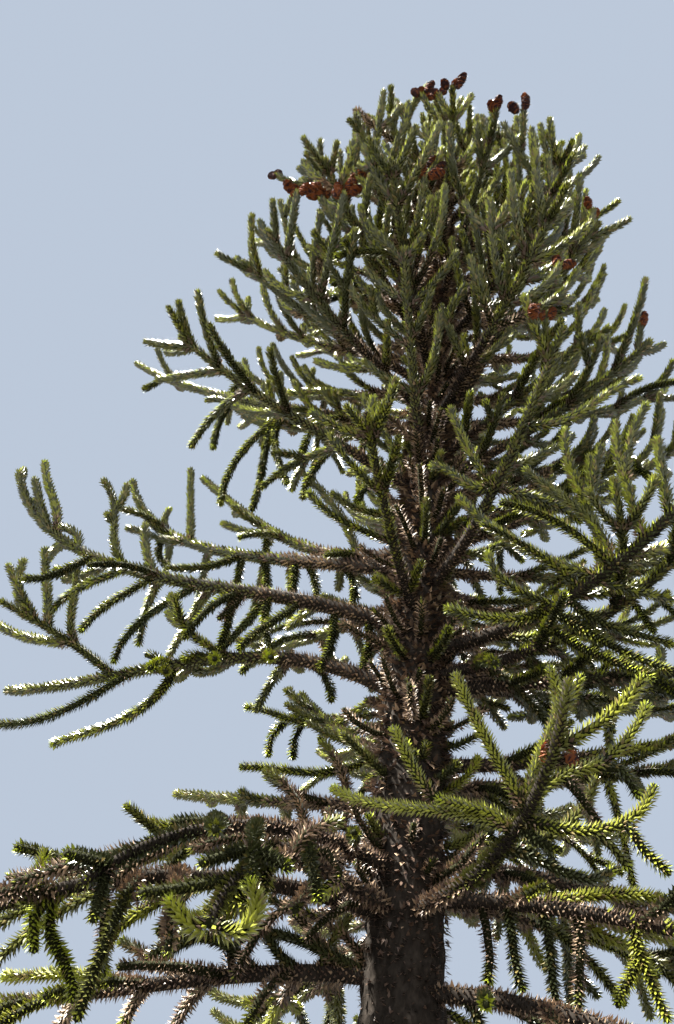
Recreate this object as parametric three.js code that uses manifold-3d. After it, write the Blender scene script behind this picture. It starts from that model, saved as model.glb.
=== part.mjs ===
// Monkey puzzle tree, about 9.4 m tall: straight tapering trunk with a flare at its foot,
// main boughs in loose whorls, and the leafy masses that they carry.
// Millimetres, +Z up, origin at the middle of the flat cut under the trunk.
// Azimuth 0 is +X, 90 is +Y, 180 is -X and 270 is -Y.
import * as THREE from "three";
import { mergeVertices } from "three/addons/utils/BufferGeometryUtils.js";
import Module from "manifold-3d";

const wasm = await Module();
wasm.setup();

const M = 1000; // the tables below are in metres
const GAP = 0.0005; // clearance kept between neighbouring solids
const DEG = Math.PI / 180;

// ---- trunk -----------------------------------------------------------------
const TRUNK_TOP = 9.16; // the last stretch stands inside the top mass
const TRUNK_SIDES = 14;
// height, radius
const TRUNK_TAPER = [
  [0.0, 0.335],
  [0.1, 0.285],
  [0.28, 0.245],
  [0.6, 0.224],
  [1.3, 0.212],
  [2.5, 0.194],
  [3.6, 0.175],
  [4.7, 0.153],
  [5.8, 0.129],
  [6.8, 0.103],
  [7.7, 0.077],
  [8.5, 0.05],
  [TRUNK_TOP, 0.024],
];
const FLARE_LOBES = 5; // root spurs that the flare swells into
const FLARE_HEIGHT = 0.45;
const FLARE_DEPTH = 0.13; // share of the radius
const SWAY = 0.016; // how far the trunk wanders off its plumb line

// ---- boughs and masses -------------------------------------------------------
// name, foot height, azimuth, length, pitch at foot, middle and tip, azimuth drift,
// half width, height above and depth below the bough of its leafy mass,
// share of the length that is a bare limb (0: the mass reaches the trunk)
const BOUGHS = [
  ["low_left", 2.56, 180, 2.55, 6, -12, 4, 0, 0.5, 0.2, 0.28, 0.3],
  ["low_right_near", 2.5, 322, 2.05, 2, -17, -24, 8, 0.42, 0.18, 0.26, 0],
  ["low_back", 2.55, 72, 2.25, 4, -8, -4, 10, 0.52, 0.2, 0.28, 0],
  ["low_back_left", 2.68, 122, 2.15, 4, -6, -2, -8, 0.48, 0.2, 0.26, 0],
  ["second_left_near", 2.83, 213, 2.5, 5, -14, -45, 4, 0.5, 0.22, 0.3, 0.3],
  ["second_near_left", 2.87, 236.1, 1.67, -7.9, -5.7, -66.7, 15.5, 0.4, 0.18, 0.24, 0],
  ["second_near_right", 2.85, 291, 1.82, 3, 10, 74, 0, 0.44, 0.26, 0.13, 0.34],
  ["second_right_near", 2.92, 343, 2.25, 3, -12, -20, 0, 0.46, 0.2, 0.28, 0],
  ["second_right", 3.12, 16, 2.45, 4, -3, -4, 0, 0.5, 0.2, 0.3, 0.3],
  ["second_back", 3.12, 97, 2.35, 6, -4, 2, 0, 0.54, 0.22, 0.3, 0.3],
  ["second_left", 3.05, 188, 1.3, 14, -2, -6, 0, 0.3, 0.15, 0.2, 0],
  ["third_left", 3.38, 147, 1.75, 9, 10, 12, 0, 0.4, 0.22, 0.28, 0.32],
  ["third_back_left", 3.6, 124, 1.65, 25, 33, 42, 0, 0.36, 0.22, 0.24, 0],
  ["third_right", 3.6, 8, 2.2, 6, 16, 22, 0, 0.48, 0.24, 0.28, 0],
  ["third_back", 3.62, 58, 2.25, 8, 6, 14, 0, 0.5, 0.24, 0.3, 0],
  ["fourth_left_low", 3.93, 178.5, 2.68, 39.1, -5.1, 8.2, -22.2, 0.44, 0.3, 0.22, 0.32],
  ["fourth_left", 4.35, 177.6, 3.06, 29.6, 9.6, 71.5, 0.1, 0.46, 0.3, 0.32, 0.32],
  ["fourth_near_right", 4.25, 318, 2.35, -8, 18, 60, 0, 0.5, 0.34, 0.22, 0.32],
  ["fourth_right", 4.0, 347, 2.25, 8, 2, 12, 0, 0.44, 0.24, 0.26, 0],
  ["fourth_back", 4.15, 100, 2.45, 12, 4, 20, 0, 0.54, 0.26, 0.32, 0.3],
  ["fourth_back_right", 4.2, 35, 2.3, 12, 8, 24, 0, 0.48, 0.26, 0.3, 0],
  ["fourth_near", 4.42, 252, 1.3, 20, 34, 46, 0, 0.25, 0.18, 0.14, 0],
  ["fifth_left", 4.78, 154.7, 3.07, 24.1, 21.8, 67.4, -2.7, 0.42, 0.26, 0.38, 0.32],
  ["fifth_left_upper", 4.98, 147.6, 2.3, -1.2, 35.2, 44.2, 8.7, 0.28, 0.2, 0.2, 0],
  ["fifth_near_right", 4.6, 305, 1.8, 16, 48, 54, 0, 0.42, 0.26, 0.22, 0],
  ["fifth_right", 4.9, 8, 2.1, 34, 32, 46, 0, 0.46, 0.26, 0.28, 0],
  ["fifth_back", 4.85, 75, 2.4, 20, 14, 32, 0, 0.56, 0.28, 0.34, 0],
  ["sixth_left", 5.87, 159.5, 3.12, 28.5, 26.5, 42.1, -2.7, 0.42, 0.24, 0.42, 0.3],
  ["sixth_left_near", 5.35, 203, 1.85, 24, 18, 34, 0, 0.4, 0.24, 0.24, 0],
  ["sixth_near", 5.4, 257, 1.55, 34, 52, 62, 0, 0.32, 0.22, 0.18, 0],
  ["sixth_near_right", 5.87, 310, 2.3, 25, 60, 78, 0, 0.4, 0.24, 0.24, 0],
  ["sixth_right_near", 5.42, 340, 1.7, 26, 30, 44, 0, 0.42, 0.26, 0.26, 0],
  ["sixth_back_right", 5.5, 30, 1.95, 26, 30, 44, 0, 0.48, 0.26, 0.28, 0],
  ["sixth_back", 5.55, 100, 2.3, 24, 22, 40, 0, 0.54, 0.28, 0.34, 0],
];
const LIMB_SIDES = 6;
const LIMB_RADIUS = 0.042; // at the foot of a bough 2.4 m long
const MASS_SIDES = 8;
const MASS_RINGS = 7;
const UNEVEN = 0.13;

// ---- upper crown: tiers of masses round the trunk ----------------------------------
// foot height, number of masses, first azimuth, length, pitches, half width, height above, depth below
const TIERS = [
  ["tier_a", 6.35, 5, 196, 1.8, 28, 36, 50, 0.6, 0.28, 0.34],
  ["tier_b", 7.12, 4, 236, 1.52, 34, 44, 58, 0.66, 0.28, 0.38],
  ["tier_c", 7.9, 3, 188, 1.02, 46, 56, 70, 0.5, 0.2, 0.32],
];
// the top mass caps the trunk: height, radius
const TOP_PROFILE = [
  [8.5, 0.14],
  [8.66, 0.34],
  [8.86, 0.46],
  [9.06, 0.4],
  [9.24, 0.22],
];
const TOP_TIP = 9.37;

// ---- colours -----------------------------------------------------------------
const BARK = 0x4a3f36;
const LIMB = 0x55483a;
const LEAVES = [0x4c5a2a, 0x556430, 0x444f28, 0x5d6b33];

// ==============================================================================
function numbers(seed) {
  let s = seed >>> 0;
  return () => {
    s = (s * 1664525 + 1013904223) >>> 0;
    return s / 4294967296;
  };
}

const add = (a, b, k = 1) => [a[0] + b[0] * k, a[1] + b[1] * k, a[2] + b[2] * k];
const cross = (a, b) => [
  a[1] * b[2] - a[2] * b[1],
  a[2] * b[0] - a[0] * b[2],
  a[0] * b[1] - a[1] * b[0],
];

function taper(z) {
  const t = TRUNK_TAPER;
  for (let i = 1; i < t.length; i++)
    if (z <= t[i][0]) {
      const k = (z - t[i - 1][0]) / (t[i][0] - t[i - 1][0]);
      return t[i - 1][1] + k * (t[i][1] - t[i - 1][1]);
    }
  return t[t.length - 1][1];
}

function trunkCentre(z) {
  const k = Math.min(1, z / 2);
  return [
    SWAY * k * Math.sin(z * 1.1),
    SWAY * k * Math.sin(z * 0.83 + 1.3),
    z,
  ];
}

// The bough's path: its pitch follows a parabola through the three given pitches.
function boughPath(z0, az, length, p0, p1, p2, drift, steps) {
  const points = [trunkCentre(z0)],
    tangents = [],
    sides = [];
  for (let i = 0; i < steps; i++) {
    const t = (i + 0.5) / steps;
    const p =
      (p0 * (1 - t) * (1 - 2 * t) + 4 * p1 * t * (1 - t) + p2 * t * (2 * t - 1)) *
      DEG;
    const a = (az + drift * t) * DEG;
    const d = [Math.cos(p) * Math.cos(a), Math.cos(p) * Math.sin(a), Math.sin(p)];
    points.push(add(points[i], d, length / steps));
    tangents.push(d);
    sides.push([-Math.sin(a), Math.cos(a), 0]);
  }
  tangents.push(tangents[steps - 1]);
  sides.push(sides[steps - 1]);
  return { points, tangents, sides, steps, length };
}

function at(path, t) {
  const f = Math.min(path.steps, Math.max(0, t * path.steps)),
    i = Math.min(path.steps - 1, Math.floor(f)),
    k = f - i;
  const mix = (a) => a[i].map((v, n) => v + (a[i + 1][n] - v) * k);
  const T = mix(path.tangents),
    n = Math.hypot(...T);
  const tangent = T.map((v) => v / n);
  const S = mix(path.sides),
    m = Math.hypot(...S);
  const side = S.map((v) => v / m);
  return { point: mix(path.points), tangent, side, up: cross(tangent, side) };
}

function toSolid(geometry) {
  return new wasm.Manifold(
    new wasm.Mesh({
      numProp: 3,
      vertProperties: geometry.attributes.position.array,
      triVerts: new Uint32Array(geometry.index.array),
    }),
  );
}

// A closed solid from rings of equal length, with a point at each end.
function loft(rings, first, last) {
  const n = rings[0].length,
    verts = [first, ...rings.flat(), last],
    tris = [];
  const id = (r, k) => 1 + r * n + ((k + n) % n),
    end = verts.length - 1;
  for (let k = 0; k < n; k++) {
    tris.push(0, id(0, k + 1), id(0, k));
    for (let r = 0; r + 1 < rings.length; r++)
      tris.push(
        id(r, k), id(r, k + 1), id(r + 1, k + 1),
        id(r, k), id(r + 1, k + 1), id(r + 1, k),
      );
    tris.push(end, id(rings.length - 1, k), id(rings.length - 1, k + 1));
  }
  const geometry = (t) =>
    new THREE.BufferGeometry()
      .setAttribute(
        "position",
        new THREE.Float32BufferAttribute(verts.flat().map((v) => v * M), 3),
      )
      .setIndex(t);
  const made = toSolid(geometry(tris));
  if (made.volume() > 0) return made;
  const turned = [];
  for (let i = 0; i < tris.length; i += 3) turned.push(tris[i], tris[i + 2], tris[i + 1]);
  return toSolid(geometry(turned));
}

function trunk(extra) {
  const rings = [];
  for (const [z, r] of TRUNK_TAPER) {
    const c = trunkCentre(z),
      fade = Math.max(0, 1 - z / FLARE_HEIGHT);
    const ring = [];
    for (let k = 0; k < TRUNK_SIDES; k++) {
      const a = (k / TRUNK_SIDES) * 2 * Math.PI;
      const lobe =
        1 + FLARE_DEPTH * fade * Math.sin(FLARE_LOBES * a + 0.7) + 0.02 * Math.sin(3 * a + z * 2.1);
      const rr = r * lobe + extra;
      ring.push([c[0] + rr * Math.cos(a), c[1] + rr * Math.sin(a), z]);
    }
    rings.push(ring);
  }
  const c = trunkCentre(TRUNK_TOP);
  return loft(rings, [0, 0, 0], [c[0], c[1], TRUNK_TOP + 0.02 + extra]);
}

function limbRadius(length, t) {
  return LIMB_RADIUS * (0.35 + (0.65 * length) / 2.4) * (1 - 0.62 * t);
}

function limb(path, t1, extra) {
  const rings = [],
    steps = 3;
  const e = extra / path.length;
  for (let i = 0; i <= steps; i++) {
    const t = i === steps ? t1 + e : (i / steps) * t1,
      f = at(path, t),
      swell = i === 0 ? 1.35 : 1;
    const r = limbRadius(path.length, t) * swell + extra,
      ring = [];
    for (let k = 0; k < LIMB_SIDES; k++) {
      const a = (k / LIMB_SIDES) * 2 * Math.PI;
      ring.push(add(add(f.point, f.side, r * Math.cos(a)), f.up, r * Math.sin(a)));
    }
    rings.push(ring);
  }
  return loft(rings, at(path, 0).point, at(path, t1 + e).point);
}

// A leafy mass along the outer part of a bough. wide(t, r) gives the half width.
function mass(path, t0, seed, wide, above, below, extra, rings = MASS_RINGS) {
  const next = numbers(seed * 7919 + 17),
    made = [];
  for (let i = 0; i < rings; i++) {
    const s = i / (rings - 1),
      t = t0 + (1 - t0) * s,
      f = at(path, t),
      swell = Math.pow(Math.sin(Math.PI * (0.1 + 0.8 * s)), 0.75);
    const w = wide(s, swell, Math.hypot(f.point[0], f.point[1])),
      ring = [];
    for (let k = 0; k < MASS_SIDES; k++) {
      const a = (k / MASS_SIDES) * 2 * Math.PI,
        rough = 1 - UNEVEN + 2 * UNEVEN * next();
      const h = Math.sin(a) > 0 ? above : below;
      const x = Math.cos(a) * w * rough,
        y = Math.sin(a) * h * (0.35 + 0.65 * swell) * rough;
      const d = Math.hypot(x, y) || 1,
        g = 1 + extra / d;
      ring.push(add(add(f.point, f.side, x * g), f.up, y * g));
    }
    made.push(ring);
  }
  const a = at(path, t0),
    b = at(path, 1);
  return loft(
    made,
    add(a.point, a.tangent, -extra),
    add(b.point, b.tangent, 0.07 + extra),
  );
}

function topMass(extra) {
  const next = numbers(4242),
    rings = [];
  for (const [z, r] of TOP_PROFILE) {
    const c = trunkCentre(z),
      ring = [];
    for (let k = 0; k < 10; k++) {
      const a = (k / 10) * 2 * Math.PI,
        rr = r * (1 - UNEVEN + 2 * UNEVEN * next()) + extra;
      ring.push([c[0] + rr * Math.cos(a), c[1] + rr * Math.sin(a), z]);
    }
    rings.push(ring);
  }
  const c = trunkCentre(9);
  return loft(rings, [c[0], c[1], 8.44 - extra], [c[0], c[1], TOP_TIP + extra]);
}

// ---- collect every solid with a slightly larger twin that cuts its neighbours -------
const solids = []; // { name, solid, fat, kind }
const trunkFat = trunk(GAP);
solids.push({ name: "trunk", solid: trunk(0), fat: trunkFat, kind: "trunk" });

const leafy = [];
BOUGHS.forEach((row, i) => {
  const [name, z0, az, length, p0, p1, p2, drift, w, u, d, bare] = row;
  const path = boughPath(z0, az, length, p0, p1, p2, drift, 24);
  const t0 = bare || 0.1;
  if (bare)
    solids.push({
      name: "bough_" + name,
      solid: limb(path, bare, 0).subtract(trunkFat),
      fat: limb(path, bare, GAP),
      kind: "limb",
    });
  // the mass starts just past the end of its limb
  const start = bare ? bare + GAP / length : t0;
  const wide = (s, swell) => w * (0.2 + 0.8 * swell) * (s < 0.05 && !bare ? 0.7 : 1);
  leafy.push({
    name: "leaves_" + name,
    solid: mass(path, start, i + 1, wide, u, d, 0),
    fat: mass(path, start, i + 1, wide, u, d, GAP * 1.6),
  });
});
TIERS.forEach(([name, z0, count, az0, length, p0, p1, p2, w, u, d], j) => {
  for (let k = 0; k < count; k++) {
    const next = numbers(900 + j * 31 + k * 7),
      az = az0 + (360 / count) * k + (next() - 0.5) * 8,
      len = length * (0.95 + 0.1 * next());
    const path = boughPath(z0 + (next() - 0.5) * 0.12, az, len, p0, p1, p2, 0, 16);
    const wide = (s, swell, r) =>
      Math.min(w * (0.25 + 0.75 * swell), r * Math.tan(Math.PI / count) * 0.9);
    const seed = 100 + j * 10 + k;
    leafy.push({
      name: "leaves_" + name + "_" + (k + 1),
      solid: mass(path, 0.1, seed, wide, u, d, 0),
      fat: mass(path, 0.1, seed, wide, u, d, GAP * 1.6),
    });
  }
});
leafy.push({ name: "leaves_top", solid: topMass(0), fat: topMass(GAP) });

const meets = (a, b) => {
  const p = a.boundingBox(),
    q = b.boundingBox();
  return [0, 1, 2].every((i) => p.min[i] < q.max[i] && q.min[i] < p.max[i]);
};
const largest = (s) =>
  s.decompose().reduce((a, b) => (b.volume() > a.volume() ? b : a));

// masses are cut round the trunk and the limbs first, then round the masses before them
const hard = [...solids];
leafy.forEach((m, i) => {
  let s = m.solid;
  for (const h of hard) if (meets(s, h.fat)) s = s.subtract(h.fat);
  for (const o of leafy.slice(0, i)) if (meets(s, o.fat)) s = s.subtract(o.fat);
  m.cut = largest(s);
  solids.push({ name: m.name, solid: m.cut, kind: "leaves" });
});

// ---- the group -----------------------------------------------------------------
function toGeometry(solid) {
  const m = solid.getMesh(),
    n = m.numProp,
    v = new Float32Array(m.numVert * 3);
  for (let i = 0; i < m.numVert; i++)
    v.set(m.vertProperties.subarray(i * n, i * n + 3), i * 3);
  const g = new THREE.BufferGeometry()
    .setAttribute("position", new THREE.BufferAttribute(v, 3))
    .setIndex(new THREE.BufferAttribute(new Uint32Array(m.triVerts), 1));
  const merged = mergeVertices(g, 1e-3);
  merged.computeVertexNormals();
  return merged;
}

const tree = new THREE.Group();
tree.name = "monkey_puzzle_tree";
solids.forEach(({ name, solid, kind }, i) => {
  const colour = kind === "trunk" ? BARK : kind === "limb" ? LIMB : LEAVES[i % LEAVES.length];
  const mesh = new THREE.Mesh(
    toGeometry(solid),
    new THREE.MeshStandardMaterial({
      color: colour,
      roughness: kind === "leaves" ? 0.6 : 0.9,
      metalness: 0,
    }),
  );
  mesh.name = name;
  tree.add(mesh);
});

export default tree;
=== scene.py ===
import math

import bpy
import numpy as np
from mathutils import Matrix, Vector


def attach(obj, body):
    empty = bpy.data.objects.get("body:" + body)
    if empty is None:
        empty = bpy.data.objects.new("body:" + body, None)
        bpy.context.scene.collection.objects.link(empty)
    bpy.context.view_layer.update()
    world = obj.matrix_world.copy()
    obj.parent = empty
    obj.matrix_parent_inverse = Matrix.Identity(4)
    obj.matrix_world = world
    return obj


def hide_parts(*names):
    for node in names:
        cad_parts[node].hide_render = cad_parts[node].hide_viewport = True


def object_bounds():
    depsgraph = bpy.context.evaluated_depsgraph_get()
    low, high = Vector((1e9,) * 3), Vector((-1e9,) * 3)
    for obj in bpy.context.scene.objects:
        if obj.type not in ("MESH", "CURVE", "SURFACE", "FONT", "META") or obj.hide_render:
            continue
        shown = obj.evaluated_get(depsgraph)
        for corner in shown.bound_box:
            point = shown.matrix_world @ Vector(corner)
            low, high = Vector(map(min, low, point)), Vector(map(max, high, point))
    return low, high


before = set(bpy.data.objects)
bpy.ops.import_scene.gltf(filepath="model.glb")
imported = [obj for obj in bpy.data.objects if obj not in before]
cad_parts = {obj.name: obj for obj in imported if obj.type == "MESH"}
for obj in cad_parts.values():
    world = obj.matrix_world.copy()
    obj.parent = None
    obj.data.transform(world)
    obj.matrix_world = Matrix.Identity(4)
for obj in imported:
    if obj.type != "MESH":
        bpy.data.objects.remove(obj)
cad_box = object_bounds()
NODES = [n if isinstance(n, str) else n["node"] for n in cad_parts]

# ------------------------------------------------------------------ camera
CAM_AT = (0.0, -5.0, 1.6)
CAM_YAW, CAM_PITCH, CAM_ROLL = 6.3365, 35.7456, 6.5802
yaw, pitch, roll = map(math.radians, (CAM_YAW, CAM_PITCH, CAM_ROLL))
fwd = np.array([-math.sin(yaw) * math.cos(pitch), math.cos(yaw) * math.cos(pitch), math.sin(pitch)])
right0 = np.array([math.cos(yaw), math.sin(yaw), 0.0])
up0 = np.cross(right0, fwd)
right = math.cos(roll) * right0 + math.sin(roll) * up0
up = np.cross(right, fwd)
cam_data = bpy.data.cameras.new("camera")
cam_data.lens = 35.0
cam_data.sensor_width = 36.0
cam_data.sensor_fit = "AUTO"
cam_data.clip_start = 0.05
cam_data.clip_end = 300.0
cam = bpy.data.objects.new("camera", cam_data)
bpy.context.scene.collection.objects.link(cam)
cam.matrix_world = Matrix(
    (
        (right[0], up[0], -fwd[0], CAM_AT[0]),
        (right[1], up[1], -fwd[1], CAM_AT[1]),
        (right[2], up[2], -fwd[2], CAM_AT[2]),
        (0, 0, 0, 1),
    )
)
bpy.context.scene.camera = cam

# ------------------------------------------------------------------ the trunk
TRUNK_TOP = 9.16
TRUNK_TAPER = [
    (0.0, 0.335), (0.1, 0.285), (0.28, 0.245), (0.6, 0.224), (1.3, 0.212), (2.5, 0.194), (3.6, 0.175),
    (4.7, 0.153), (5.8, 0.129), (6.8, 0.103), (7.7, 0.077), (8.5, 0.05), (TRUNK_TOP, 0.024),
]
FLARE_LOBES, FLARE_HEIGHT, FLARE_DEPTH, SWAY = 5, 0.45, 0.13, 0.016


def trunk_radius(z):
    t = np.array(TRUNK_TAPER)
    return np.interp(z, t[:, 0], t[:, 1])


def trunk_centre(z):
    z = np.asarray(z, float)
    k = np.minimum(1, z / 2)
    return np.stack([SWAY * k * np.sin(z * 1.1), SWAY * k * np.sin(z * 0.83 + 1.3), z], -1)


# ------------------------------------------------------------------ the boughs
# name, foot height, azimuth, length, pitch at foot, middle and tip, azimuth drift, reach of the side
# shoots, share of them that hang, upturn of their tips, share of dead leaves, bough that shares its mass
BOUGHS = [
    ("low_left", 2.56, 180, 2.55, 6, -12, 4, 0, 0.50, 0.6, -0.1, 0.85, 1),
    ("low_right_near", 2.5, 322, 2.05, 2, -17, -24, 8, 0.38, 0.6, 0.2, 0.7, 0),
    ("low_back", 2.55, 72, 2.25, 4, -8, -4, 10, 0.52, 0.4, 0.6, 0.4, 1),
    ("low_back_left", 2.68, 122, 2.15, 4, -6, -2, -8, 0.48, 0.4, 0.6, 0.4, 1),
    ("second_left_near", 2.83, 213, 2.5, 5, -14, -45, 4, 0.50, 0.5, -0.2, 0.85, 1),
    ("second_near_left", 2.87, 236.1, 1.67, -7.9, -5.7, -66.7, 15.5, 0.40, 0.5, 0.2, 0.85, 0),
    ("second_near_right", 2.85, 291, 1.82, 3, 10, 74, 0, 0.50, 0.0, 1.6, 0.2, 0),
    ("second_right_near", 2.92, 343, 2.25, 3, -12, -20, 0, 0.42, 0.5, 0.3, 0.5, 0),
    ("second_right", 3.12, 16, 2.45, 4, -3, -4, 0, 0.46, 0.5, 0.3, 0.5, 1),
    ("second_back", 3.12, 97, 2.35, 6, -4, 2, 0, 0.54, 0.4, 0.6, 0.35, 1),
    ("second_left", 3.05, 188, 1.3, 14, -2, -6, 0, 0.26, 0.5, -0.1, 0.85, 0),
    ("third_left", 3.38, 147, 1.75, 9, 10, 12, 0, 0.40, 0.35, 0.3, 0.5, 0),
    ("third_back_left", 3.6, 124, 1.65, 25, 33, 42, 0, 0.36, 0.5, 0.5, 0.3, 0),
    ("third_right", 3.6, 8, 2.2, 6, 16, 22, 0, 0.48, 0.35, 0.8, 0.3, 1),
    ("third_back", 3.62, 58, 2.25, 8, 6, 14, 0, 0.50, 0.4, 0.7, 0.3, 1),
    ("fourth_left_low", 3.93, 178.5, 2.68, 39.1, -5.1, 8.2, -22.2, 0.44, 0.25, 1.3, 0.2, 0),
    ("fourth_left", 4.35, 177.6, 3.06, 29.6, 9.6, 71.5, 0.1, 0.50, 0.6, 1.2, 0.2, 0),
    ("fourth_near_right", 4.25, 318, 2.35, -8, 18, 60, 0, 0.54, 0.1, 1.2, 0.15, 1),
    ("fourth_right", 4.0, 347, 2.25, 8, 2, 12, 0, 0.46, 0.3, 0.9, 0.2, 1),
    ("fourth_back", 4.15, 100, 2.45, 12, 4, 20, 0, 0.54, 0.5, 0.8, 0.25, 1),
    ("fourth_back_right", 4.2, 35, 2.3, 12, 8, 24, 0, 0.50, 0.4, 0.9, 0.25, 1),
    ("fourth_near", 4.42, 252, 1.3, 20, 34, 46, 0, 0.30, 0.0, 1.0, 0.15, 0),
    ("fifth_left", 4.78, 154.7, 3.07, 24.1, 21.8, 67.4, -2.7, 0.44, 0.8, 0.9, 0.2, 0),
    ("fifth_left_upper", 4.98, 147.6, 2.3, -1.2, 35.2, 44.2, 8.7, 0.30, 0.4, 0.5, 0.25, 0),
    ("fifth_near_right", 4.6, 305, 1.8, 16, 48, 54, 0, 0.44, 0.1, 1.1, 0.15, 1),
    ("fifth_right", 4.9, 8, 2.1, 34, 32, 46, 0, 0.48, 0.2, 1.0, 0.2, 1),
    ("fifth_back", 4.85, 75, 2.4, 20, 14, 32, 0, 0.56, 0.5, 0.8, 0.2, 1),
    ("sixth_left", 5.87, 159.5, 3.12, 28.5, 26.5, 42.1, -2.7, 0.44, 0.9, 0.4, 0.2, 0),
    ("sixth_left_near", 5.35, 203, 1.85, 24, 18, 34, 0, 0.42, 0.3, 0.8, 0.15, 0),
    ("sixth_near", 5.4, 257, 1.55, 34, 52, 62, 0, 0.34, 0.0, 1.1, 0.1, 0),
    ("sixth_near_right", 5.87, 310, 2.3, 25, 60, 78, 0, 0.42, 0.0, 1.2, 0.1, 1),
    ("sixth_right_near", 5.42, 340, 1.7, 26, 30, 44, 0, 0.44, 0.1, 1.1, 0.15, 1),
    ("sixth_back_right", 5.5, 30, 1.95, 26, 30, 44, 0, 0.50, 0.2, 1.0, 0.15, 1),
    ("sixth_back", 5.55, 100, 2.3, 24, 22, 40, 0, 0.56, 0.4, 0.8, 0.15, 1),
    ("behind_right_low", 4.5, 58, 2.1, 14, 10, 24, 0, 0.46, 0.4, 0.8, 0.3, 0),
    ("behind_right", 4.68, 40, 1.9, 12, 12, 22, 0, 0.44, 0.4, 0.8, 0.3, 0),
    ("behind_right_high", 4.82, 22, 1.6, 10, 16, 26, 0, 0.42, 0.3, 0.8, 0.3, 0),
    ("behind_left", 4.6, 128, 2.0, 14, 10, 24, 0, 0.44, 0.5, 0.8, 0.3, 0),
]
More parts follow.
